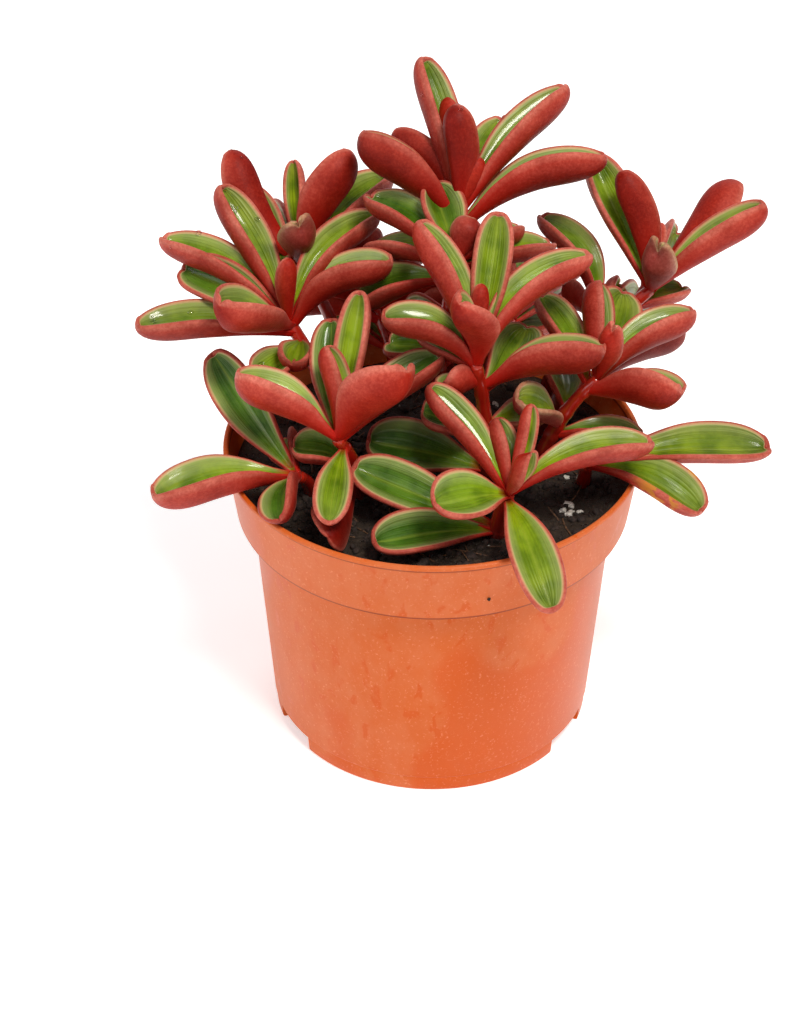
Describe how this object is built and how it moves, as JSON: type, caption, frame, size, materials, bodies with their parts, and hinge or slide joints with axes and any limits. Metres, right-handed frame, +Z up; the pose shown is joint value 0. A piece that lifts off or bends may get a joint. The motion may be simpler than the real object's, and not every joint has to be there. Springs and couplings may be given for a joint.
{
  "type": "potted peperomia",
  "caption": "Bushy succulent plant with boat-shaped green and red leaves on upright red stems, in a round tapered plastic nursery pot filled with potting mix.",
  "frame": {"origin": "centre of the pot's underside, on the surface it stands on", "axes": "+Z up, +X to the viewer's right, the picture's viewer on the -Y side"},
  "size_m": [0.1773, 0.1539, 0.182],
  "materials": {
    "pot_plastic": "injection-moulded polypropylene, terracotta orange, satin with dusty water marks",
    "potting_mix": "moist dark peat with perlite and twigs",
    "foliage": "waxy succulent leaf, green groove with red underside and pale margins, on glossy red stems"
  },
  "bodies": {
    "root": {"pot": "pot_plastic", "soil": "potting_mix", "stems_left": "foliage", "stems_top": "foliage", "stem_right_rear": "foliage", "stem_right_inner": "foliage", "stem_front_left": "foliage", "stem_rim_left": "foliage", "stem_middle": "foliage", "stem_right": "foliage", "stem_rim_right": "foliage", "stem_front": "foliage", "stem_rear_left": "foliage", "stem_rear_right": "foliage"}
  },
  "joints": []
}
